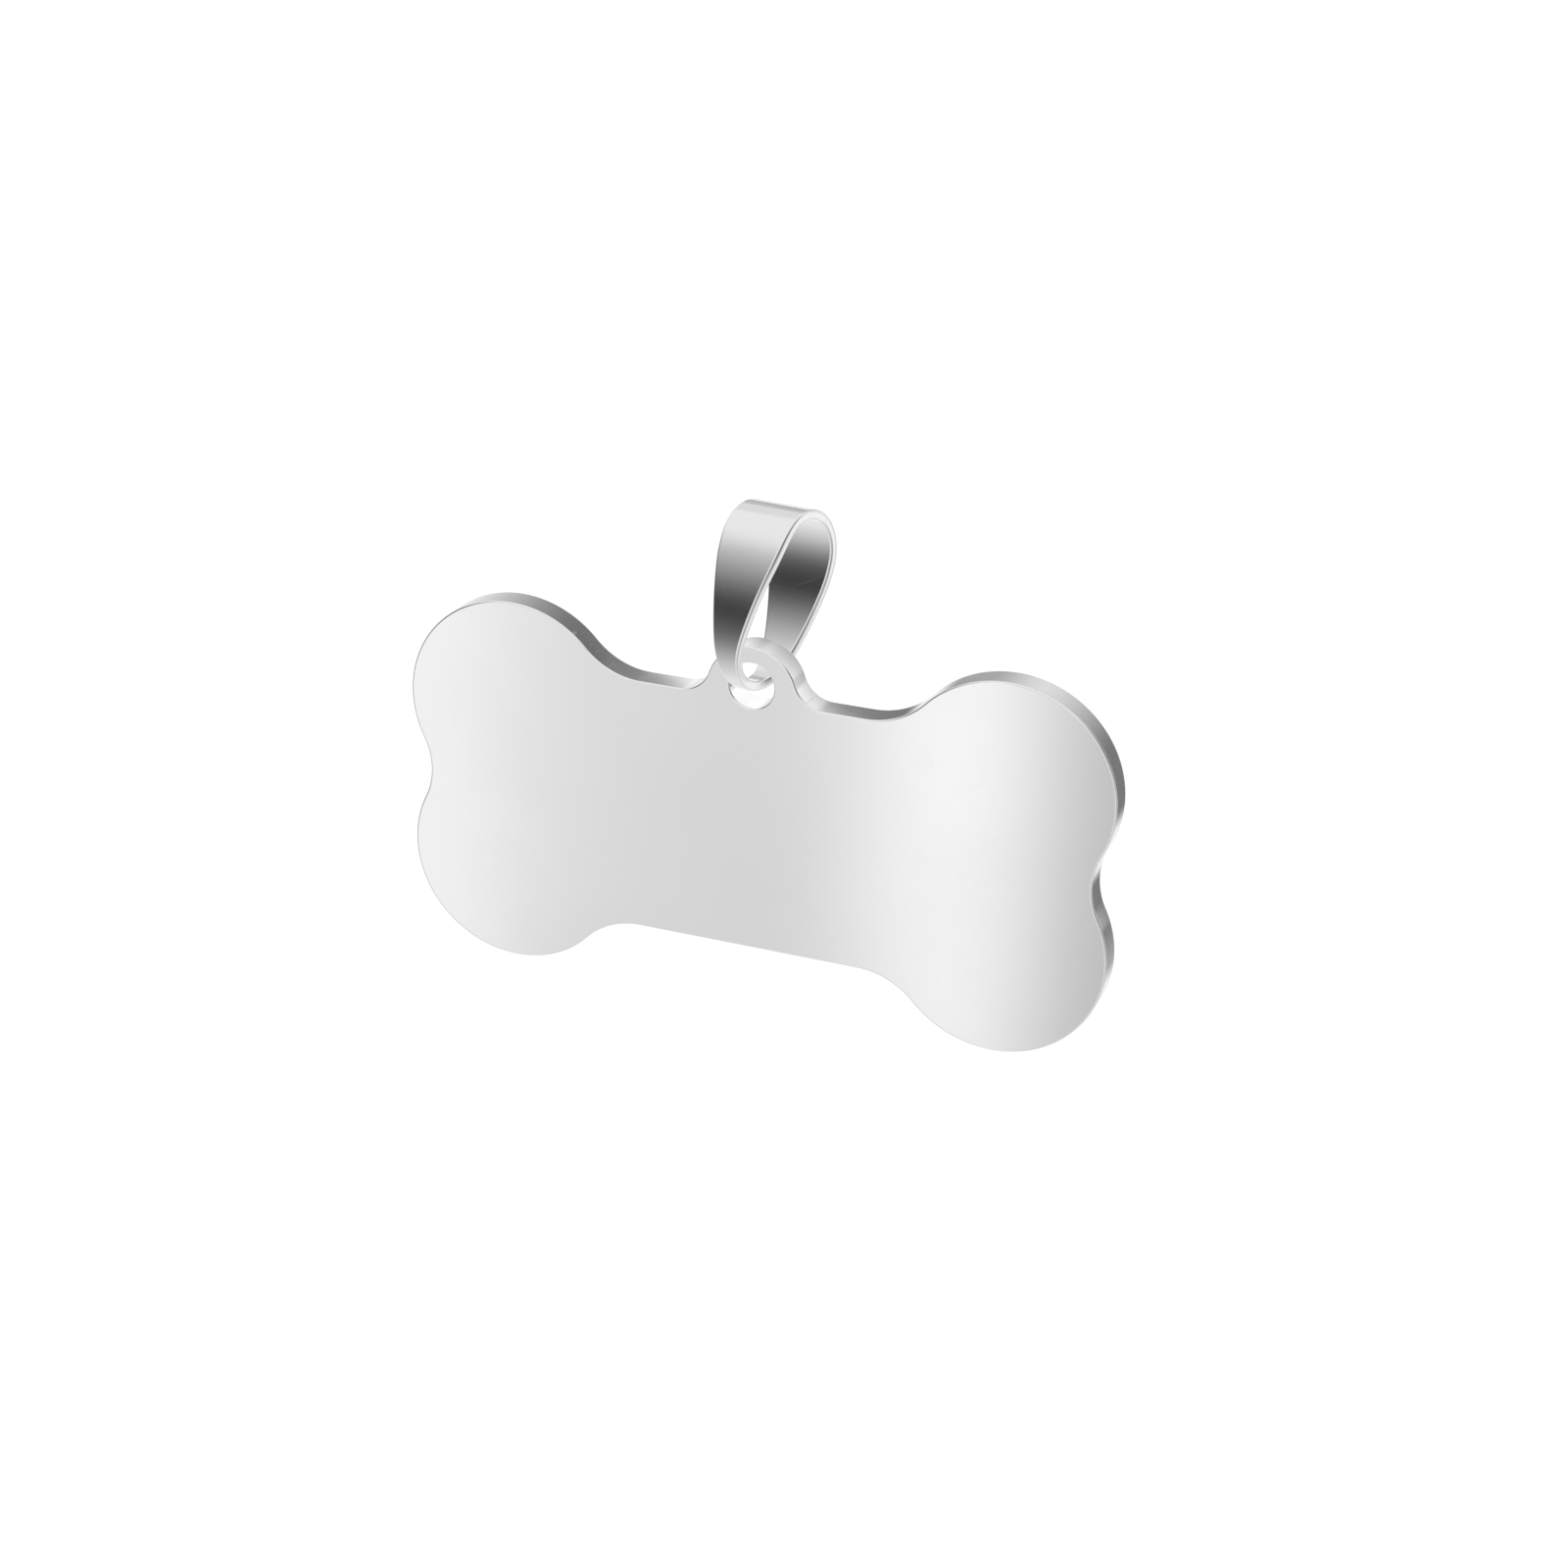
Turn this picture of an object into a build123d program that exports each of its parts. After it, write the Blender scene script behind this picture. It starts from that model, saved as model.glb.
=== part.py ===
from build123d import *
from math import asin, cos, degrees, hypot, radians, sin, sqrt, tan
import os

# A bone-shaped pet tag that hangs in a folded strip bail.
# Lengths are millimetres and angles are degrees. +Z is up, +X runs along the tag and +Y runs from its
# front face to its back. The origin is the centre of the bail's top bend, where a collar ring bears.

# Tag plate: a bone cut from polished sheet
tag_length = 40.0
tag_height = 21.0
plate_thickness = 1.6
lobe_radius = 6.05
shaft_height = 14.4
notch_fillet = 3.95
shoulder_share = 0.5
rim_round = 0.08

# Lug on the top edge, with the hole that the bail passes through
hole_rise = 0.8
lug_side_wall = 1.27
lug_bridge = 0.9
lug_fillet = 1.75

# Bail: a strip folded into a loop with gently bowed legs, wide at the top bend and narrow in the hole
bail_height = 10.0
bail_depth = 5.85
leg_bow_radius = 14.0
strip_thickness = 0.55
strip_width_top = 4.0
strip_width_hole = 0.9
taper_blend = 12.0
strip_edge_round = 0.12

# Butt seam where the strip's two ends meet, as an angle round the bottom bend towards the back
seam_angle = 76.0
seam_gap = 0.12

# Fit of the strip in the hole, and how far the tag swings each way from in line with the bail
hole_clearance = 0.09
swing_each_way = 62.0

# Pose of the bail over an upright tag: turned about Z, leaning back, rocked to one side
bail_turn = -15.0
bail_lean = -28.0
bail_rock = -3.5

# Bail, worked out from the centre of its top bend
half_depth = (bail_depth - strip_thickness) / 2
half_height = (bail_height - strip_thickness) / 2
bow_offset = leg_bow_radius - half_depth
bend_radius = (leg_bow_radius**2 - bow_offset**2 - half_height**2) / (leg_bow_radius - half_height) / 2
bend_spacing = 2 * (half_height - bend_radius)
neck_level = -bend_spacing - bend_radius
bail_bottom = neck_level - strip_thickness
bail_top = bend_radius + strip_thickness
half_top = strip_width_top / 2
half_end = half_top + (half_top - strip_width_hole / 2) * bail_bottom / -neck_level


def strip_width(angle):
    """Width of the strip on the bottom bend, at an angle from the bend's lowest point."""
    rise = bend_radius * (1 - cos(radians(angle)))
    return strip_width_hole + (strip_width_top - strip_width_hole) * rise / -neck_level


def loop_outline(grow):
    """Outline of the loop, set outwards from the middle of the strip: two bowed legs and two round bends."""
    with BuildSketch() as lens:
        with Locations((bow_offset, 0)):
            Circle(leg_bow_radius + grow)
        with Locations((-bow_offset, 0)):
            Circle(leg_bow_radius + grow, mode=Mode.INTERSECT)
        fillet(lens.vertices(), radius=bend_radius + grow)
    return lens.sketch


def from_middle(corner):
    """How far a corner of the bone's outline lies from the middle, left and right alike."""
    return round(abs(corner.X), 3)


# Hole: it passes the corners of the strip at the plate's faces, at the ends of the swing
half_plate = plate_thickness / 2
face_angle = degrees(asin(half_plate / bend_radius))
face_sag = bend_radius - sqrt(bend_radius**2 - half_plate**2)
turn = abs(radians(bail_turn))
side_reach = half_plate * tan(turn) + strip_width(swing_each_way + face_angle) / 2 / cos(turn)
hole_radius = hypot(side_reach, strip_thickness / 2) + hole_clearance

# Tag, worked out from the middle of the bone
lobe_x = tag_length / 2 - lobe_radius
lobe_z = tag_height / 2 - lobe_radius
hole_z = shaft_height / 2 + hole_rise
lug_radius = hole_radius + lug_side_wall
lug_z = hole_z + hole_radius + lug_bridge - lug_radius

# Shoulders: the curve into each lobe takes a share of the straight edge between the lug's foot and the lobe
lug_foot = sqrt((lug_radius + lug_fillet) ** 2 - (shaft_height / 2 + lug_fillet - lug_z) ** 2)
edge_level = shaft_height / 2 - lobe_z
lobe_reach = sqrt(lobe_radius**2 - edge_level**2)
shoulder_reach = lobe_reach + shoulder_share * (lobe_x - lobe_reach - lug_foot)
shoulder_fillet = (shoulder_reach**2 / (lobe_radius - edge_level) - lobe_radius - edge_level) / 2

# The swing axis is the axis of the bail's bottom bend. It passes straight above the middle of the bone,
# and the bail is set along it so that the strip goes through the middle of the hole.
bail_pose = Rot(Z=bail_turn) * Rot(X=bail_lean) * Rot(Y=bail_rock)
strip_shift = bend_radius * cos(radians(bail_lean)) * sin(radians(bail_rock))
swing_point = (bail_pose * Pos(-strip_shift, 0, -bend_spacing)).position
swing_axis = (bail_pose * Pos(1, 0, 0)).position
bone_drop = hole_z - face_sag + bend_radius
tag_place = Pos(swing_point.X, swing_point.Y, swing_point.Z - bone_drop)

# Sketch planes: the plate's outline, the loop seen along its bends, and the strip seen from the front
plate_plane = Plane(tag_place * Plane.XZ.location)
loop_plane = Plane(bail_pose * Plane.YZ.location)
taper_plane = Plane(bail_pose * Plane.XZ.location)

# Tag plate
with BuildPart() as tag_plate:
    with BuildSketch(plate_plane) as outline:
        Rectangle(2 * lobe_x, shaft_height)
        with GridLocations(2 * lobe_x, 2 * lobe_z, 2, 2):
            Circle(lobe_radius)
        with Locations((0, lug_z)):
            Circle(lug_radius)
        # Inside corners, from the middle outwards: beside the lug, at the shoulders, in the end notches
        fillet(outline.vertices().group_by(from_middle)[2], radius=notch_fillet)
        fillet(outline.vertices().group_by(from_middle)[1], radius=shoulder_fillet)
        fillet(outline.vertices().group_by(from_middle)[0], radius=lug_fillet)
        with Locations((0, hole_z)):
            Circle(hole_radius, mode=Mode.SUBTRACT)
    extrude(amount=half_plate, both=True)
    front_face = tag_plate.faces().sort_by(Axis.Y)[0]
    back_face = tag_plate.faces().sort_by(Axis.Y)[-1]
    fillet(front_face.edges() + back_face.edges(), radius=rim_round)

# Bail
with BuildPart() as bail:
    with BuildSketch(loop_plane):
        with Locations((0, -bend_spacing / 2)):
            add(loop_outline(strip_thickness / 2))
            add(loop_outline(-strip_thickness / 2), mode=Mode.SUBTRACT)
    extrude(amount=strip_width_top, both=True)
    # Seen from the front, the strip narrows evenly from the top bend to its end
    with BuildSketch(taper_plane) as taper:
        with BuildLine():
            Polyline(
                (-half_end, bail_bottom),
                (half_end, bail_bottom),
                (half_top, 0),
                (half_top, bail_top),
                (-half_top, bail_top),
                (-half_top, 0),
                close=True,
            )
        make_face()
        fillet(taper.vertices().group_by(Axis.Y)[1], radius=taper_blend)
    extrude(amount=bail_depth, both=True, mode=Mode.INTERSECT)
    across = Axis((0, 0, 0), swing_axis)
    through = Axis((0, 0, 0), (bail_pose * Pos(0, 1, 0)).position)
    rims = bail.edges().filter_by(across, reverse=True).filter_by(through, reverse=True)
    fillet(rims, radius=strip_edge_round)
    with BuildSketch(loop_plane):
        with Locations((0, -bend_spacing)):
            with PolarLocations(bend_radius, 1, start_angle=seam_angle - 90):
                Rectangle(2 * strip_thickness, seam_gap)
    extrude(amount=strip_width_top, both=True, mode=Mode.SUBTRACT)

tag_plate.part.label = "tag_plate"
bail.part.label = "bail"
os.makedirs("parts", exist_ok=True)
export_step(tag_plate.part, "parts/tag_plate.step")
export_step(bail.part, "parts/bail.step")
print("swing point", swing_point, "swing axis", swing_axis, "hole radius", round(hole_radius, 3))
print("swing limits", bail_lean - swing_each_way, bail_lean + swing_each_way)
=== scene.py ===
from math import atan2, ceil, cos, hypot, pi, radians, sin, sqrt, tan

import bmesh
import bpy
from bpy.props import FloatProperty, FloatVectorProperty, PointerProperty
from bpy.types import Operator, Panel, PropertyGroup
from mathutils import Matrix, Vector


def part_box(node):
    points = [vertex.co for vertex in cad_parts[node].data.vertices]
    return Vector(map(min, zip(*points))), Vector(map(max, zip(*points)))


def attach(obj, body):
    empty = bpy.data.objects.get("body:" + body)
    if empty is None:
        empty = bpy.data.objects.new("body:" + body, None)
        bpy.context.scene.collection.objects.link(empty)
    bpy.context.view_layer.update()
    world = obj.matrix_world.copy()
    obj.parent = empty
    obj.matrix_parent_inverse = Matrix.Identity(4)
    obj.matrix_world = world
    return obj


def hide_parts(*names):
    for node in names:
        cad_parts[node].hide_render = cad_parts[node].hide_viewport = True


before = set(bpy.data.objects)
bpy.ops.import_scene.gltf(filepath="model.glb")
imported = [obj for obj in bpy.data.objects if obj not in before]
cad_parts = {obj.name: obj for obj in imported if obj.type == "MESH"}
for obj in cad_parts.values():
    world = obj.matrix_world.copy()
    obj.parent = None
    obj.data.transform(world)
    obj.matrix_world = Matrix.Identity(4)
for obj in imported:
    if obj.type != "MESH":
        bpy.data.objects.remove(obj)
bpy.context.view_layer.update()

bl_info = {
    "name": "Bone Pet Tag",
    "version": (1, 0, 0),
    "blender": (4, 5, 0),
    "location": "View3D > Sidebar > Pet Tag",
    "description": "Models a polished bone-shaped pet tag, its folded strip bail and a small studio",
    "category": "Object",
}

MM = 0.001
MICRON = 0.000001
PLATE_LOW, PLATE_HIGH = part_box("tag_plate")
PLATE_SIZE = PLATE_HIGH - PLATE_LOW
PLATE_MIDDLE = (PLATE_LOW + PLATE_HIGH) / 2

# Meshes: points along the outlines, steps of the rounds, and a border that keeps flat faces flat
PLATE_SPACING = 0.12 * MM
LOOP_SPACING = 0.1 * MM
RIM_STEPS = 5
STRIP_EDGE_STEPS = 4
FLAT_BORDER = 0.02 * MM
SMOOTHING_ROUNDS = 40
SHADING_ANGLE = radians(40.0)

# How edges and faces are told apart: corners in radians, and the share of a normal that lies along one axis
SHARP_CORNER = 1.0
ALONG_AXIS = 0.9
BESIDE_AXIS = 0.1
SQUARE_TO_AXIS = 0.01
FEWEST_FACE_CORNERS = 100
HALF_FACES = 4

# Polish: noise scales per metre, along each axis where there are three
PLATE_LINES = (900.0, 16000.0, 26000.0)
PLATE_WAVES = 90.0
BAIL_LINES = (26000.0, 900.0, 900.0)
BAIL_WAVES = 160.0
HANDLING_CLOUDS = 120.0
SCUFF_LINES = (420.0, 420.0, 21000.0)

# Scuffs in three directions, each with its tilt in radians and its shift in metres, and their depth in
# hairlines
SCUFF_LAYS = ((0.45, 0.013), (-0.7, 0.037), (1.9, 0.051))
SCUFF_DEPTH = 2.0

# How much clouds, lines and scuffs blur the polish, and how much they dull its colour
CLOUD_BLUR, LINE_BLUR, SCUFF_BLUR = 0.2, 0.3, 0.06
CLOUD_DULL, LINE_DULL, SCUFF_DULL = 0.55, 0.3, 0.2

# Studio, in metres and watts, with the camera's sensor in millimetres
FLOOR_SIZE = 3.0
FLOOR_GREY = (0.42, 0.42, 0.42, 1.0)
FLOOR_GLOW = 0.72
WHITE = (1.0, 1.0, 1.0, 1.0)
LAMP_PLACE = (-0.08, -0.05, 0.5)
LAMP_SIZE = 0.9
LAMP_POWER = 0.4
SENSOR_WIDTH = 36.0
CLIP_START, CLIP_END = 0.005, 10.0

# Rows of panels in the light tent: change of light, degrees of wave per degree of bearing, shift in degrees
BROAD_PANELS = (0.2, 41.4, 1.23)
NARROW_PANELS = (0.117, 55.6, 3.73)
SIDE_PANELS = (0.17, 13.0, 0.0)

# Levels of light in the tent
TENT_LEVEL = 0.944
CEILING_LEVEL = 0.86
EDGE_PANEL_LEVEL = 1.14
WHITE_LEVEL = 1.0

# Shares of the light that the lower front, the dark cards and the arcs take away, and that the gap adds
LOWER_FRONT = 0.07
LEFT_CARD, RIGHT_CARD = 0.89, 0.85
INNER_ARC, OUTER_ARC = 0.76, 0.82
GAP_LIFT = 0.45

# The cards darken upwards from their foot, in degrees of elevation, along a gentle curve
CARD_FOOT = -70.0
CARD_RISE = 81.0
CARD_CURVE = 1.15

# Shares by which the arcs' pale top, foot and outer band fade, and a shift of the inner edge in degrees
PALE_TOP_FADE = 0.65
FOOT_FADE = 0.3
OUTER_FADE = 0.4
INNER_SHIFT = 0.2


def length_setting(name, description, millimetres):
    """A length that a user may change, given in millimetres and kept in metres."""
    return FloatProperty(
        name=name, description=description, default=millimetres * MM, min=0.0, precision=5, unit="LENGTH"
    )


def angle_setting(name, description, degrees):
    """An angle that a user may change, given in degrees and kept in radians."""
    return FloatProperty(name=name, description=description, default=radians(degrees), unit="ROTATION")


def share_setting(name, description, share):
    """A share from 0 to 1 that a user may change."""
    return FloatProperty(
        name=name, description=description, default=share, min=0.0, max=1.0, subtype="FACTOR"
    )


def colour_setting(name, description, colour):
    """A colour that a user may change."""
    return FloatVectorProperty(
        name=name, description=description, default=colour, min=0.0, max=1.0, subtype="COLOR"
    )


class PlateSizes(PropertyGroup):
    """Sizes of the bone-shaped plate."""

    length: length_setting("Length", "Bone from end to end", PLATE_SIZE.x / MM)
    height: length_setting("Height", "Bone from the lower lobes to the upper ones", PLATE_SIZE.z / MM)
    thickness: length_setting("Thickness", "Sheet that the plate is cut from", PLATE_SIZE.y / MM)
    lobe_radius: length_setting("Lobe radius", "Round of the four lobes", 6.05)
    shaft_height: length_setting("Shaft height", "Bone between its two straight edges", 14.4)
    notch_fillet: length_setting("Notch fillet", "Hollow between the two lobes of an end", 3.95)
    shoulder_fillet: length_setting("Shoulder fillet", "Curve from a straight edge into a lobe", 4.416)
    lug_radius: length_setting("Lug radius", "Round of the lug on the top edge", 2.541)
    lug_rise: length_setting("Lug rise", "Centre of the lug above the top edge", 0.43)
    lug_fillet: length_setting("Lug fillet", "Curve at the foot of the lug", 1.75)
    hole_radius: length_setting("Hole radius", "Hole in the lug", 1.271)
    hole_rise: length_setting("Hole rise", "Centre of the hole above the top edge", 0.8)
    rim_round: length_setting("Rim round", "Softened rim of both faces", 0.08)


class BailSizes(PropertyGroup):
    """Sizes and stored pose of the folded strip."""

    height: length_setting("Height", "Loop from its lowest to its highest point", 10.0)
    depth: length_setting("Depth", "Loop from its front leg to its back leg", 5.85)
    leg_bow: length_setting("Leg bow", "Radius of the gently bowed legs", 14.0)
    strip: length_setting("Strip", "Thickness of the strip", 0.55)
    top_width: length_setting("Top width", "Strip on the top bend", 4.0)
    hole_width: length_setting("Hole width", "Strip where it passes the hole", 0.9)
    taper_blend: length_setting("Taper blend", "Curve where the strip starts to narrow", 12.0)
    edge_round: length_setting("Edge round", "Softened edges of the strip", 0.12)
    seam_gap: length_setting("Seam gap", "Gap between the strip's two ends", 0.12)
    seam: angle_setting("Seam", "Place of the seam, round the bottom bend towards the back", 76.0)
    turn: angle_setting("Turn", "Loop turned about the vertical", -15.0)
    lean: angle_setting("Lean", "Loop leaning back", -28.0)
    rock: angle_setting("Rock", "Loop rocked to one side", -3.5)


class SteelFinish(PropertyGroup):
    """Look of the polished steel."""

    bright: colour_setting("Bright steel", "Colour of the cleanest polish", (0.81, 0.81, 0.815))
    dull: colour_setting("Dull steel", "Colour where the polish is handled or worn", (0.77, 0.77, 0.777))
    plate_roughness: share_setting("Plate roughness", "Blur of the plate's cleanest polish", 0.05)
    bail_roughness: share_setting("Bail roughness", "Blur of the strip's cleanest polish", 0.14)
    hairline: length_setting("Hairline depth", "Depth of the finest polishing lines", 0.00003)
    wave: length_setting("Wave height", "Height of the slow waves that polishing leaves", 0.0009)


class StudioSetup(PropertyGroup):
    """Camera and floor."""

    azimuth: angle_setting("Azimuth", "Camera round the tag, to the right of its front", 21.05)
    elevation: angle_setting("Elevation", "Camera above the horizon", 23.67)
    roll: angle_setting("Roll", "Camera turned about its own line of sight", 1.24)
    distance: length_setting("Distance", "Camera from what it looks at", 161.5)
    target: FloatVectorProperty(
        name="Target", description="What the camera looks at, from the middle of the bone",
        default=(1.645 * MM, 0.0, 2.4 * MM), precision=5, subtype="TRANSLATION", unit="LENGTH",
    )
    lens: FloatProperty(name="Lens", description="Focal length in millimetres", default=70.0, min=1.0)
    floor_drop: length_setting("Floor drop", "Floor below the middle of the bone", 95.0)


class Signal:
    """A shader socket that takes part in Python arithmetic."""

    def __init__(self, recipe, socket):
        self.recipe = recipe
        self.socket = socket

    def __add__(self, other):
        return self.recipe.math("ADD", self, other)

    def __radd__(self, other):
        return self.recipe.math("ADD", other, self)

    def __sub__(self, other):
        return self.recipe.math("SUBTRACT", self, other)

    def __rsub__(self, other):
        return self.recipe.math("SUBTRACT", other, self)

    def __mul__(self, other):
        return self.recipe.math("MULTIPLY", self, other)

    def __rmul__(self, other):
        return self.recipe.math("MULTIPLY", other, self)

    def __neg__(self):
        return self.recipe.math("MULTIPLY", self, -1.0)

    def cosine(self):
        return self.recipe.math("COSINE", self)

    def power(self, other):
        return self.recipe.math("POWER", self, other)

    def larger(self, other):
        return self.recipe.math("MAXIMUM", self, other)

    def moved(self, goal, share):
        """This value, moved a share of the way to a goal."""
        return self + (goal - self) * share

    def between(self, start, end):
        """0 at start, 1 at end and a smooth step from one to the other."""
        return self.recipe.add(
            "ShaderNodeMapRange",
            {"interpolation_type": "SMOOTHSTEP"},
            {"Value": self, "From Min": start, "From Max": end, "To Min": 0.0, "To Max": 1.0},
        )

    def window(self, start, full, fading, end):
        """0 up to start, 1 from full to fading, 0 again from end, and smooth steps between them."""
        return self.between(start, full) * self.between(end, fading)


class Recipe:
    """A node tree that is written as a list of nodes."""

    def __init__(self, tree):
        self.tree = tree
        self.tree.nodes.clear()

    def add(self, kind, settings=None, sockets=None, output=0):
        """Adds a node: its settings first, then its sockets' values and links. Returns one output."""
        node = self.tree.nodes.new(kind)
        for name, value in (settings or {}).items():
            setattr(node, name, value)
        for name, value in (sockets or {}).items():
            if isinstance(value, Signal):
                self.tree.links.new(value.socket, node.inputs[name])
            else:
                node.inputs[name].default_value = value
        return Signal(self, node.outputs[output]) if len(node.outputs) else None

    def math(self, operation, *values):
        return self.add("ShaderNodeMath", {"operation": operation}, dict(enumerate(values)))

    def stretched(self, place, scale):
        """The place with each axis scaled on its own."""
        return self.add("ShaderNodeVectorMath", {"operation": "MULTIPLY"}, {0: place, 1: scale})

    def turned(self, place, turn, shift=(0.0, 0.0, 0.0)):
        """The place turned by three angles and shifted."""
        return self.add(
            "ShaderNodeMapping", {"vector_type": "POINT"},
            {"Vector": place, "Location": shift, "Rotation": turn},
        )

    def noise(self, place, scale, detail=0.0, roughness=0.5):
        return self.add(
            "ShaderNodeTexNoise", None,
            {"Vector": place, "Scale": scale, "Detail": detail, "Roughness": roughness}, "Fac",
        )

    def blend(self, share, first, second):
        """One colour fading into another."""
        return self.add("ShaderNodeMix", {"data_type": "RGBA"}, {0: share, 6: first, 7: second}, 2)


def steel_material(name, finish, roughness, turn, lines, waves):
    """Polished steel whose fine polishing lines are stretched along one direction of the piece."""
    material = bpy.data.materials.new(name)
    material.use_nodes = True
    recipe = Recipe(material.node_tree)
    place = recipe.turned(recipe.add("ShaderNodeTexCoord", output="Object"), turn)

    # Fine lines, clouds where the tag is handled, a few straight scuffs and slow waves
    hairlines = recipe.noise(recipe.stretched(place, lines), 1.0, detail=3.0, roughness=0.62)
    clouds = recipe.noise(place, HANDLING_CLOUDS, detail=2.0, roughness=0.45).between(0.3, 0.8)
    scuffs = 0.0
    for tilt, shift in SCUFF_LAYS:
        lay = recipe.turned(place, (0.0, tilt, 0.0), (shift, shift, shift))
        scuffs = recipe.noise(recipe.stretched(lay, SCUFF_LINES), 1.0).between(0.79, 0.86) + scuffs
    slow_waves = recipe.noise(place, waves)

    blur = 1.0 + CLOUD_BLUR * clouds + LINE_BLUR * hairlines.between(0.45, 0.8)
    dulling = CLOUD_DULL * clouds + LINE_DULL * hairlines + SCUFF_DULL * scuffs
    hairline = finish.hairline / MICRON
    height = hairlines * hairline + slow_waves * (finish.wave / MICRON) - scuffs * (hairline * SCUFF_DEPTH)
    normal = recipe.add(
        "ShaderNodeBump", None, {"Strength": 1.0, "Distance": MICRON, "Height": height}, "Normal"
    )
    shader = recipe.add(
        "ShaderNodeBsdfPrincipled", None,
        {
            "Base Color": recipe.blend(dulling, (*finish.bright, 1.0), (*finish.dull, 1.0)),
            "Metallic": 1.0,
            "Roughness": roughness * blur + SCUFF_BLUR * scuffs,
            "Normal": normal,
        },
    )
    recipe.add("ShaderNodeOutputMaterial", None, {"Surface": shader})
    return material


class Tracer:
    """Draws an outline in edit mode, from one vertex, with straight runs and spun arcs."""

    def __init__(self, name, plane, start, spacing):
        bpy.ops.object.select_all(action="DESELECT")
        bpy.ops.mesh.primitive_plane_add(size=2 * MM)
        self.piece = bpy.context.object
        self.piece.name = name
        self.piece.data.name = name
        self.plane = plane
        self.spacing = spacing
        self.pen = start
        bpy.ops.object.mode_set(mode="EDIT")
        bpy.ops.mesh.select_mode(type="VERT")
        bpy.ops.mesh.select_all(action="SELECT")
        bpy.ops.mesh.merge(type="CENTER")
        bpy.ops.transform.translate(value=self.spot(start))

    def spot(self, point):
        """A point of the outline in space: the plate lies in X and Z, the loop in Y and Z."""
        across, up = point
        return Vector((across, 0.0, up)) if self.plane == "XZ" else Vector((0.0, across, up))

    def run(self, point):
        """Goes straight to a point."""
        move = self.spot(point) - self.spot(self.pen)
        bpy.ops.mesh.extrude_region_move(TRANSFORM_OT_translate={"value": move})
        self.pen = point

    def arc(self, centre, point, turn):
        """Goes round a centre to a point, counter-clockwise where turn is 1, clockwise where it is -1."""
        start = atan2(self.pen[1] - centre[1], self.pen[0] - centre[0])
        end = atan2(point[1] - centre[1], point[0] - centre[0])
        sweep = (end - start) * turn % (2 * pi)
        radius = hypot(point[0] - centre[0], point[1] - centre[1])
        axis = (0.0, 1.0, 0.0) if self.plane == "XZ" else (-1.0, 0.0, 0.0)
        bpy.ops.mesh.spin(
            steps=max(2, ceil(sweep * radius / self.spacing)), angle=sweep * turn,
            center=self.spot(centre), axis=axis,
        )
        self.pen = point


def toward(centre, other, reach):
    """The point at a distance from one centre in the direction of another."""
    span = hypot(other[0] - centre[0], other[1] - centre[1])
    return (
        centre[0] + (other[0] - centre[0]) * reach / span,
        centre[1] + (other[1] - centre[1]) * reach / span,
    )


def select_only(piece, kind, wanted):
    """In edit mode, leaves only the wanted elements of one kind selected and says how many there are."""
    bpy.ops.mesh.select_mode(type=kind)
    bpy.ops.mesh.select_all(action="DESELECT")
    mesh = bmesh.from_edit_mesh(piece.data)
    elements = {"VERT": mesh.verts, "EDGE": mesh.edges, "FACE": mesh.faces}[kind]
    chosen = [element for element in elements if wanted(element)]
    for element in chosen:
        element.select_set(True)
    bmesh.update_edit_mesh(piece.data)
    return len(chosen)


def round_edges(radius, steps):
    """Rounds the selected edges."""
    bpy.ops.mesh.bevel(
        offset_type="OFFSET", offset=radius, segments=steps, profile=0.5, affect="EDGES",
        clamp_overlap=False,
    )


def add_border():
    """Sets a narrow border inside the selected faces, which keeps them truly flat beside a round."""
    bpy.ops.mesh.inset(thickness=FLAT_BORDER, use_even_offset=True)


def face_outwards():
    """Turns all faces of the piece in edit mode outwards."""
    bpy.ops.mesh.select_all(action="SELECT")
    bpy.ops.mesh.normals_make_consistent(inside=False)


def apply_modifier(piece, kind, **settings):
    """Adds a modifier to the active piece, sets it and applies it."""
    bpy.ops.object.modifier_add(type=kind)
    modifier = piece.modifiers[-1]
    for name, value in settings.items():
        setattr(modifier, name, value)
    bpy.ops.object.modifier_apply(modifier=modifier.name)


def finish_piece(piece, material, body, node):
    """Smooths a piece's shading, gives it its steel and puts it in the place of its CAD node."""
    bpy.ops.object.shade_smooth_by_angle(angle=SHADING_ANGLE)
    piece.data.materials.clear()
    piece.data.materials.append(material)
    piece.visible_glossy = False
    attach(piece, body)
    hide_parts(node)


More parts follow.
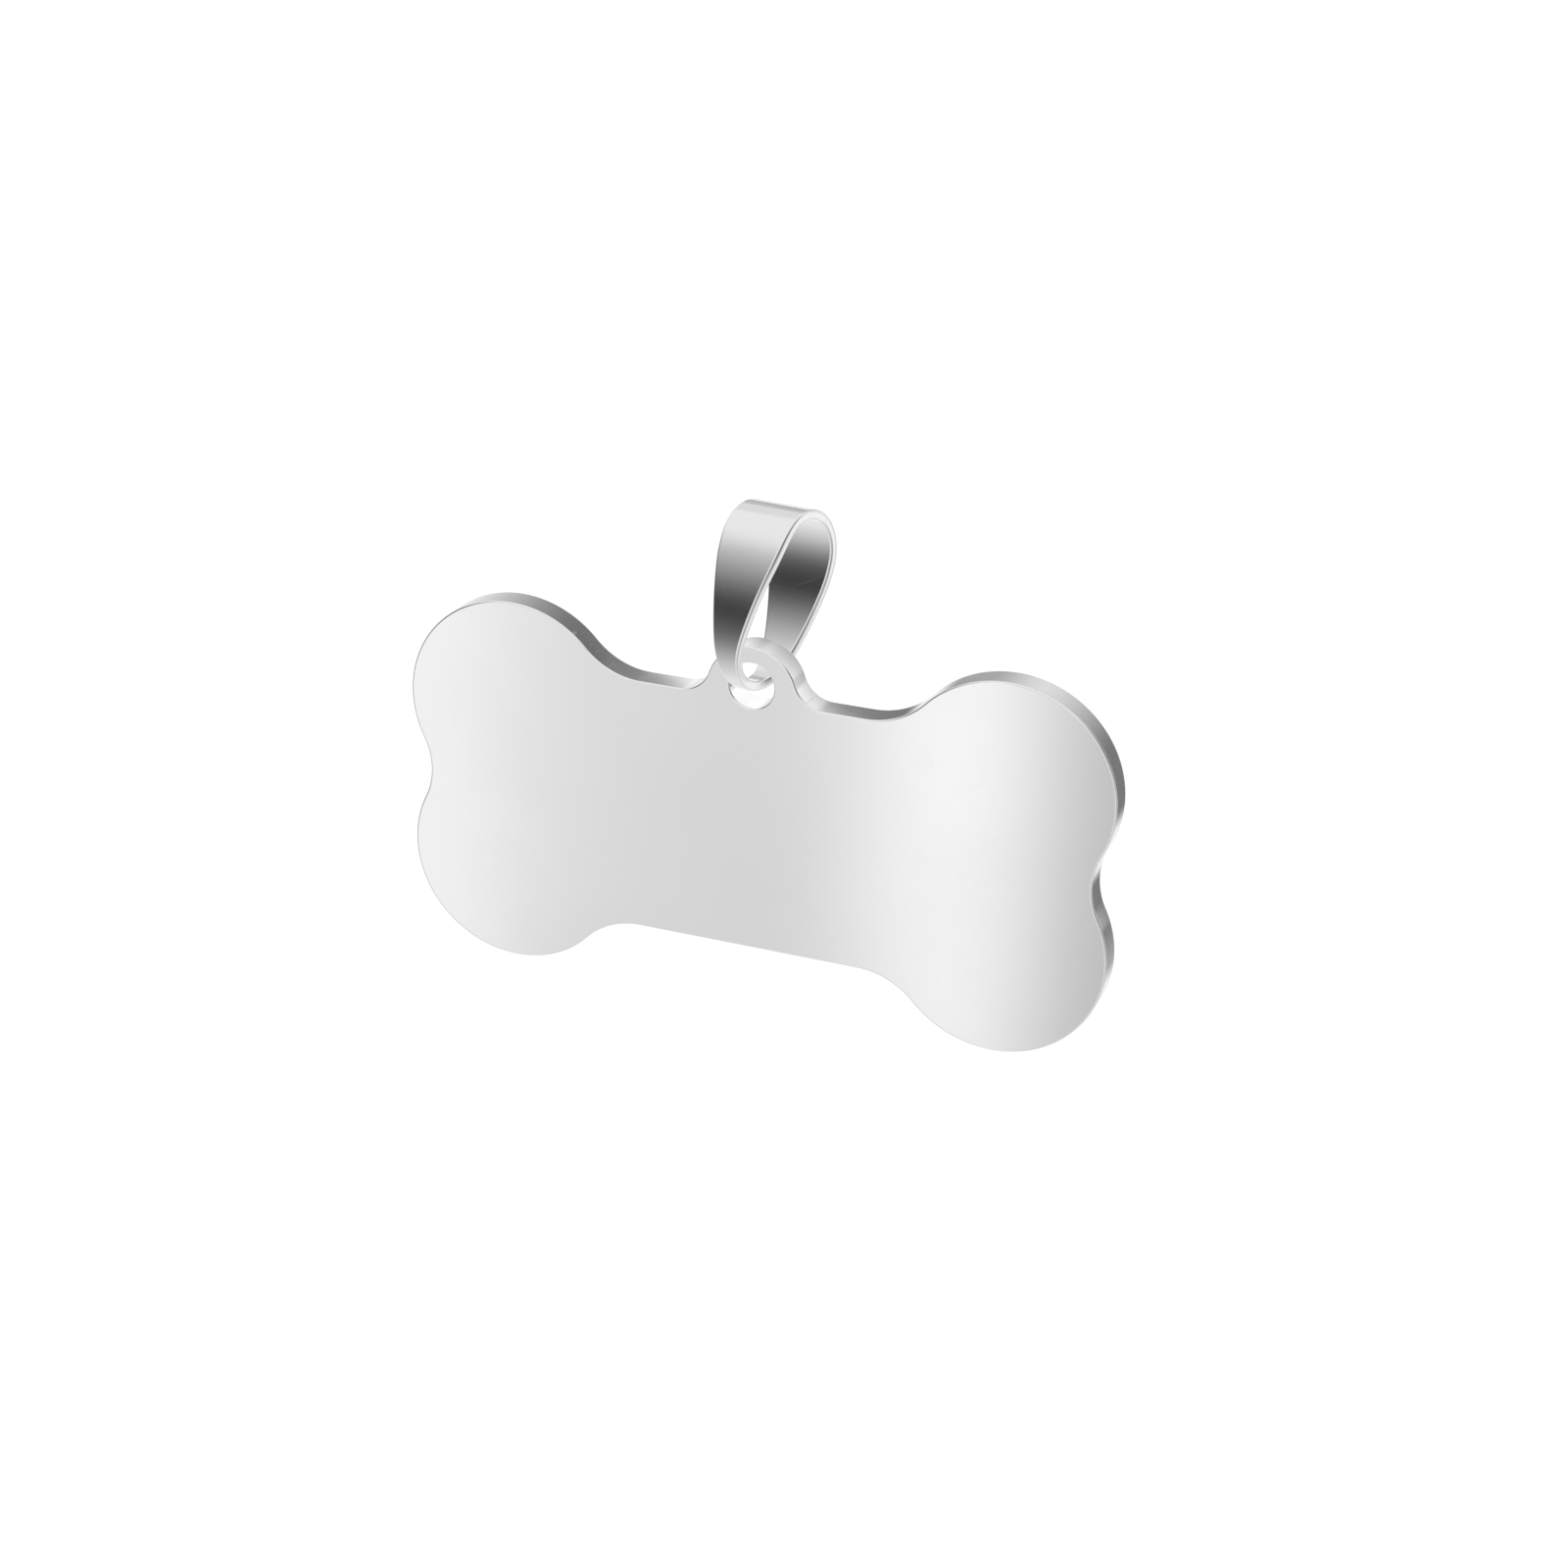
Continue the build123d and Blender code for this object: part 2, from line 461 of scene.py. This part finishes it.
def plate_outline(sizes):
    """Draws the right half of the outline, from the middle of the lower edge up to the hole."""
    lobe = sizes.lobe_radius
    shoulder = sizes.shoulder_fillet
    notch = sizes.notch_fillet
    foot = sizes.lug_fillet
    shaft = sizes.shaft_height / 2
    lobe_x = sizes.length / 2 - lobe
    lobe_z = sizes.height / 2 - lobe
    lug = (0.0, shaft + sizes.lug_rise)
    hole = (0.0, shaft + sizes.hole_rise)
    shoulder_x = lobe_x - sqrt((lobe + shoulder) ** 2 - (shaft + shoulder - lobe_z) ** 2)
    notch_x = lobe_x + sqrt((lobe + notch) ** 2 - lobe_z**2)
    foot_x = sqrt((sizes.lug_radius + foot) ** 2 - (shaft + foot - lug[1]) ** 2)
    lower_lobe = (lobe_x, -lobe_z)
    upper_lobe = (lobe_x, lobe_z)
    lower_shoulder = (shoulder_x, -shaft - shoulder)
    upper_shoulder = (shoulder_x, shaft + shoulder)
    notch_at = (notch_x, 0.0)
    foot_at = (foot_x, shaft + foot)

    outline = Tracer("bone_plate", "XZ", (0.0, -shaft), PLATE_SPACING)
    outline.run((shoulder_x, -shaft))
    outline.arc(lower_shoulder, toward(lower_shoulder, lower_lobe, shoulder), -1)
    outline.arc(lower_lobe, toward(lower_lobe, notch_at, lobe), 1)
    outline.arc(notch_at, toward(notch_at, upper_lobe, notch), -1)
    outline.arc(upper_lobe, toward(upper_lobe, upper_shoulder, lobe), 1)
    outline.arc(upper_shoulder, (shoulder_x, shaft), -1)
    outline.run((foot_x, shaft))
    outline.arc(foot_at, toward(foot_at, lug, foot), -1)
    outline.arc(lug, (0.0, lug[1] + sizes.lug_radius), 1)
    outline.run((0.0, hole[1] + sizes.hole_radius))
    outline.arc(hole, (0.0, hole[1] - sizes.hole_radius), -1)
    return outline.piece


def thicken_plate(piece, sizes):
    """Fills the half outline, gives it its thickness, opens it at the middle and mirrors it."""
    bpy.ops.mesh.select_all(action="SELECT")
    bpy.ops.mesh.edge_face_add()
    bpy.ops.transform.translate(value=(0.0, -sizes.thickness / 2, 0.0))
    bpy.ops.mesh.extrude_region_move(TRANSFORM_OT_translate={"value": (0.0, sizes.thickness, 0.0)})
    select_only(piece, "FACE", lambda face: all(abs(corner.co.x) < MICRON for corner in face.verts))
    bpy.ops.mesh.delete(type="FACE")
    bpy.ops.object.mode_set(mode="OBJECT")
    apply_modifier(piece, "MIRROR", use_mirror_merge=True, merge_threshold=2 * MICRON)


def soften_plate(piece, sizes):
    """Rounds the rims, borders the faces and side walls, and moves the plate to its place."""
    bpy.ops.object.mode_set(mode="EDIT")
    face_outwards()
    if not select_only(
        piece, "EDGE", lambda edge: edge.is_manifold and edge.calc_face_angle() > SHARP_CORNER
    ):
        raise RuntimeError("The plate has no rim to soften")
    round_edges(sizes.rim_round, RIM_STEPS)
    if select_only(piece, "FACE", lambda face: len(face.verts) > FEWEST_FACE_CORNERS) != HALF_FACES:
        raise RuntimeError("The plate's two faces aren't whole")
    add_border()
    select_only(piece, "FACE", lambda face: abs(face.normal.y) < SQUARE_TO_AXIS)
    add_border()
    bpy.ops.mesh.select_all(action="SELECT")
    bpy.ops.transform.translate(value=PLATE_MIDDLE)
    bpy.ops.object.mode_set(mode="OBJECT")


class PETTAG_OT_tag_plate(Operator):
    """Model the bone-shaped plate with its lug and hole"""

    bl_idname = "pettag.tag_plate"
    bl_label = "Tag Plate"

    def execute(self, context):
        sizes = context.scene.pettag_plate
        finish = context.scene.pettag_finish
        piece = plate_outline(sizes)
        thicken_plate(piece, sizes)
        soften_plate(piece, sizes)
        unturned = (0.0, 0.0, 0.0)
        steel = steel_material(
            "plate_steel", finish, finish.plate_roughness, unturned, PLATE_LINES, PLATE_WAVES
        )
        finish_piece(piece, steel, "tag", "tag_plate")
        return {"FINISHED"}


def strip_loop(sizes, bend, spacing, offset):
    """Draws the middle of the strip, from the seam up the back leg, over the top and down to the seam."""
    top = (0.0, 0.0)
    bottom = (0.0, -spacing)
    back_bow = (-offset, -spacing / 2)
    front_bow = (offset, -spacing / 2)
    half_gap = sizes.seam_gap / 2 / bend
    start, end = (
        (bend * sin(place), -spacing - bend * cos(place))
        for place in (sizes.seam + half_gap, sizes.seam - half_gap)
    )
    loop = Tracer("strip_bail", "YZ", start, LOOP_SPACING)
    loop.arc(bottom, toward(bottom, back_bow, -bend), 1)
    loop.arc(back_bow, toward(top, back_bow, -bend), 1)
    loop.arc(top, toward(top, front_bow, -bend), 1)
    loop.arc(front_bow, toward(bottom, front_bow, -bend), 1)
    loop.arc(bottom, end, 1)

    # Bends that run softly into the legs, as in rolled strip. The two ends stay where they are
    select_only(loop.piece, "VERT", lambda corner: len(corner.link_edges) == 2)
    bpy.ops.mesh.vertices_smooth(factor=0.5, repeat=SMOOTHING_ROUNDS)
    return loop.piece


def taper_strip(piece, sizes, neck):
    """Makes the strip as wide as its top bend, then narrows it row by row towards the hole."""
    half_top = sizes.top_width / 2
    blend = sizes.taper_blend
    slope = atan2(half_top - sizes.hole_width / 2, neck)
    blend_start = blend * (1 - cos(slope)) / sin(slope)
    blend_end = blend_start - blend * sin(slope)

    def half_width(level):
        """Half of the strip's width at a level: a curve where it starts to narrow, and even below it."""
        if level < blend_end:
            return half_top + level * tan(slope)
        drop = max(0.0, blend_start - level)
        return half_top - blend + sqrt(blend**2 - drop**2)

    bpy.ops.mesh.select_all(action="SELECT")
    bpy.ops.transform.translate(value=(-half_top, 0.0, 0.0))
    bpy.ops.mesh.extrude_region_move(TRANSFORM_OT_translate={"value": (sizes.top_width, 0.0, 0.0)})
    rows = {round(corner.co.z / MICRON) for corner in bmesh.from_edit_mesh(piece.data).verts}
    for row in sorted(rows):
        if row * MICRON < blend_start:
            select_only(piece, "VERT", lambda corner: round(corner.co.z / MICRON) == row)
            bpy.ops.transform.resize(
                value=(half_width(row * MICRON) / half_top, 1.0, 1.0), center_override=(0.0, 0.0, 0.0)
            )
    bpy.ops.object.mode_set(mode="OBJECT")


def thicken_strip(piece, sizes):
    """Gives the strip its thickness, rounds its long edges and borders its broad faces."""

    def is_long_edge(edge):
        return (
            edge.calc_face_angle() > SHARP_CORNER
            and edge.calc_length() < sizes.strip / 2
            and max(abs(face.normal.x) for face in edge.link_faces) > ALONG_AXIS
        )

    apply_modifier(
        piece, "SOLIDIFY", thickness=sizes.strip, offset=0.0, use_even_offset=True, use_rim=True
    )
    bpy.ops.object.mode_set(mode="EDIT")
    if not select_only(piece, "EDGE", is_long_edge):
        raise RuntimeError("The strip has no long edges to soften")
    round_edges(sizes.edge_round, STRIP_EDGE_STEPS)
    select_only(piece, "FACE", lambda face: len(face.verts) == 4 and abs(face.normal.x) < BESIDE_AXIS)
    add_border()
    bpy.ops.object.mode_set(mode="OBJECT")


class PETTAG_OT_bail(Operator):
    """Model the strip that is folded into a loop through the hole"""

    bl_idname = "pettag.bail"
    bl_label = "Bail"

    def execute(self, context):
        sizes = context.scene.pettag_bail
        finish = context.scene.pettag_finish

        # Two bowed legs and two round bends, along the middle of the strip
        half_height = (sizes.height - sizes.strip) / 2
        bow = sizes.leg_bow
        offset = bow - (sizes.depth - sizes.strip) / 2
        bend = (bow**2 - offset**2 - half_height**2) / (bow - half_height) / 2
        spacing = 2 * (half_height - bend)
        piece = strip_loop(sizes, bend, spacing, offset)
        taper_strip(piece, sizes, spacing + bend)
        thicken_strip(piece, sizes)

        # Stored pose
        pose = (
            Matrix.Rotation(sizes.turn, 4, "Z")
            @ Matrix.Rotation(sizes.lean, 4, "X")
            @ Matrix.Rotation(sizes.rock, 4, "Y")
        )
        piece.matrix_world = pose
        bpy.ops.object.transform_apply(location=False, rotation=True, scale=False)
        bpy.ops.object.mode_set(mode="EDIT")
        face_outwards()
        bpy.ops.object.mode_set(mode="OBJECT")

        unturned = tuple(pose.inverted().to_euler())
        steel = steel_material(
            "bail_steel", finish, finish.bail_roughness, unturned, BAIL_LINES, BAIL_WAVES
        )
        finish_piece(piece, steel, "bail", "bail")
        return {"FINISHED"}


def floor_material():
    """A pale floor that the camera sees as white, with only the shadow on it."""
    material = bpy.data.materials.new("studio_floor")
    material.use_nodes = True
    recipe = Recipe(material.node_tree)
    paper = recipe.add("ShaderNodeBsdfDiffuse", None, {"Color": FLOOR_GREY})
    seen = recipe.add("ShaderNodeLightPath", output="Is Camera Ray")
    glow = recipe.add("ShaderNodeEmission", None, {"Color": WHITE, "Strength": seen * FLOOR_GLOW})
    both = recipe.add("ShaderNodeAddShader", None, {0: paper, 1: glow})
    recipe.add("ShaderNodeOutputMaterial", None, {"Surface": both})
    return material


class Sky:
    """Angles, in degrees, of a direction in the light tent."""

    def __init__(self, recipe):
        ray = recipe.add("ShaderNodeTexCoord", output="Generated")
        east, north, up = (
            recipe.add("ShaderNodeSeparateXYZ", None, {"Vector": ray}, axis) for axis in "XYZ"
        )
        per_radian = 180.0 / pi

        # Round the vertical, from the front and from behind, and above the horizon
        self.azimuth = recipe.math("ARCTAN2", east, -north) * per_radian
        self.behind = recipe.math("ARCTAN2", east, north) * per_radian
        self.elevation = recipe.math("ARCSINE", up) * per_radian

        # Round the line from front to back, an angle off that line and a clock angle from the top
        self.ring = recipe.math("ARCCOSINE", north) * per_radian
        self.clock = recipe.math("ARCTAN2", -east, up) * per_radian


def panel_light(bearing, *panels):
    """Change of light along a row of soft panels of one or more widths."""
    change = 0.0
    for strength, wave, shift in panels:
        change = strength * ((bearing + shift) * radians(wave)).cosine() + change
    return change


def tent_panels(sky):
    """Low panels of two widths before and behind the tag, and wide ones at the back's sides, under an
    even ceiling."""
    front = sky.azimuth.window(-42.0, -32.0, 26.0, 36.0)
    back = sky.ring.between(22.0, 17.0)
    sides = sky.ring.window(41.0, 46.0, 60.0, 75.0)
    low = sky.elevation.window(-44.0, -34.0, -8.0, 10.0)
    rows = (
        panel_light(sky.azimuth, BROAD_PANELS, NARROW_PANELS) * front
        + panel_light(sky.behind, BROAD_PANELS, NARROW_PANELS) * back
        + panel_light(sky.behind, SIDE_PANELS) * sides
    )
    light = TENT_LEVEL + rows * low
    light = light * (1.0 - LOWER_FRONT * front * sky.elevation.between(-21.0, -32.0))
    return light.moved(CEILING_LEVEL, sky.elevation.between(8.0, 40.0))


def tent_cards(sky):
    """Light left by two dark cards at the front, darkest a little above the horizon and fading slowly
    downwards."""
    rise = (sky.elevation - CARD_FOOT) * (1.0 / CARD_RISE)
    fade = rise.larger(0.0).power(CARD_CURVE) * sky.elevation.between(46.0, 15.0)
    left = sky.azimuth.window(-115.0, -80.0, -43.0, -29.0)
    right = sky.azimuth.window(18.0, 44.0, 110.0, 126.0)
    return (1.0 - LEFT_CARD * fade * left) * (1.0 - RIGHT_CARD * fade * right)


def tent_arcs(sky):
    """Light left by two dark arcs behind the tag, one inside the other, with a light gap between them."""
    ring = sky.ring
    clock = sky.clock

    # The inner arc has a pale top and a wide foot
    pale_top = clock.between(-95.0, 8.0) * ring.between(28.3, 27.3)
    pale_top = pale_top * (1.0 - PALE_TOP_FADE * clock.between(0.0, 60.0))
    inner_edge = ring - INNER_SHIFT * clock.between(5.0, 35.0)
    foot = ring.between(37.0, 34.0) * clock.between(-100.0, -118.0)
    foot = foot * (1.0 - FOOT_FADE * clock.between(-100.0, -155.0))
    inner = (inner_edge.between(30.0, 29.2) * clock.between(120.0, 90.0)).larger(foot)
    inner = inner * ring.between(22.0, 24.5) * clock.between(-178.0, -150.0)

    # The outer arc fades to the left
    outer = ring.window(31.1, 31.8, 36.0, 39.0) * clock.window(-75.0, -55.0, 20.0, 125.0)
    outer = outer * (1.0 - OUTER_FADE * clock.between(-40.0, 50.0) * ring.between(31.9, 32.5))

    gap = inner_edge.between(29.3, 30.0) * ring.between(31.7, 31.0) * clock.window(-95.0, -80.0, 60.0, 95.0)
    dark = (1.0 - INNER_ARC * inner * (1.0 - pale_top)) * (1.0 - OUTER_ARC * outer)
    return dark * (1.0 + GAP_LIFT * gap)


def light_tent(world):
    """White to the camera, and round the tag a tent of soft light panels with a few darker cards."""
    world.use_nodes = True
    recipe = Recipe(world.node_tree)
    sky = Sky(recipe)
    light = tent_panels(sky) * tent_cards(sky) * tent_arcs(sky)

    # A small white panel to the right, behind the tag, lights the right edge of the bail's strip
    edge_panel = sky.behind.window(42.0, 46.0, 51.0, 55.0) * sky.elevation.window(-28.0, -22.0, -13.0, -7.0)
    light = light.moved(EDGE_PANEL_LEVEL, edge_panel)

    camera = recipe.add("ShaderNodeLightPath", output="Is Camera Ray")
    shown = light.moved(WHITE_LEVEL, camera)
    background = recipe.add("ShaderNodeBackground", None, {"Color": shown, "Strength": 1.0})
    recipe.add("ShaderNodeOutputWorld", None, {"Surface": background})


class PETTAG_OT_studio(Operator):
    """Set up the floor, the light and the camera"""

    bl_idname = "pettag.studio"
    bl_label = "Studio"

    def execute(self, context):
        scene = context.scene
        studio = scene.pettag_studio
        bpy.ops.object.select_all(action="DESELECT")
        bpy.ops.mesh.primitive_plane_add(
            size=FLOOR_SIZE, location=(0.0, 0.0, PLATE_MIDDLE.z - studio.floor_drop)
        )
        floor = context.object
        floor.name = "studio_floor"
        floor.visible_glossy = False
        floor.data.materials.append(floor_material())

        scene.world = bpy.data.worlds.new("light_tent")
        light_tent(scene.world)

        bpy.ops.object.light_add(type="AREA", location=LAMP_PLACE)
        lamp = context.object
        lamp.name = "overhead_softbox"
        lamp.data.shape = "SQUARE"
        lamp.data.size = LAMP_SIZE
        lamp.data.energy = LAMP_POWER
        lamp.rotation_euler = (PLATE_MIDDLE - lamp.location).to_track_quat("-Z", "Y").to_euler()

        target = PLATE_MIDDLE + Vector(studio.target)
        away = Vector((
            sin(studio.azimuth) * cos(studio.elevation),
            -cos(studio.azimuth) * cos(studio.elevation),
            sin(studio.elevation),
        ))
        bpy.ops.object.camera_add(location=target + away * studio.distance)
        camera = context.object
        camera.name = "studio_camera"
        camera.data.lens = studio.lens
        camera.data.sensor_width = SENSOR_WIDTH
        camera.data.clip_start = CLIP_START
        camera.data.clip_end = CLIP_END
        level = away.to_track_quat("Z", "Y").to_matrix()
        camera.rotation_euler = (level @ Matrix.Rotation(studio.roll, 3, "Z")).to_euler()
        scene.camera = camera
        scene.view_settings.view_transform = "Standard"
        return {"FINISHED"}


class PETTAG_PT_sidebar(Panel):
    """Sizes, finish and studio of the pet tag"""

    bl_idname = "PETTAG_PT_sidebar"
    bl_label = "Pet Tag"
    bl_space_type = "VIEW_3D"
    bl_region_type = "UI"
    bl_category = "Pet Tag"

    def draw(self, context):
        operators = {
            "pettag_plate": PETTAG_OT_tag_plate,
            "pettag_bail": PETTAG_OT_bail,
            "pettag_studio": PETTAG_OT_studio,
        }
        for name, group in GROUPS.items():
            box = self.layout.box()
            for setting in group.__annotations__:
                box.prop(getattr(context.scene, name), setting)
            if name in operators:
                box.operator(operators[name].bl_idname)


GROUPS = {
    "pettag_plate": PlateSizes,
    "pettag_bail": BailSizes,
    "pettag_finish": SteelFinish,
    "pettag_studio": StudioSetup,
}
PARTS = (PETTAG_OT_tag_plate, PETTAG_OT_bail, PETTAG_OT_studio, PETTAG_PT_sidebar)


def register():
    for name, group in GROUPS.items():
        bpy.utils.register_class(group)
        setattr(bpy.types.Scene, name, PointerProperty(type=group))
    for part in PARTS:
        bpy.utils.register_class(part)


def unregister():
    for part in reversed(PARTS):
        bpy.utils.unregister_class(part)
    for name, group in reversed(GROUPS.items()):
        delattr(bpy.types.Scene, name)
        bpy.utils.unregister_class(group)


def main():
    register()
    bpy.ops.pettag.tag_plate()
    bpy.ops.pettag.bail()
    bpy.ops.pettag.studio()


if __name__ == "__main__":
    main()
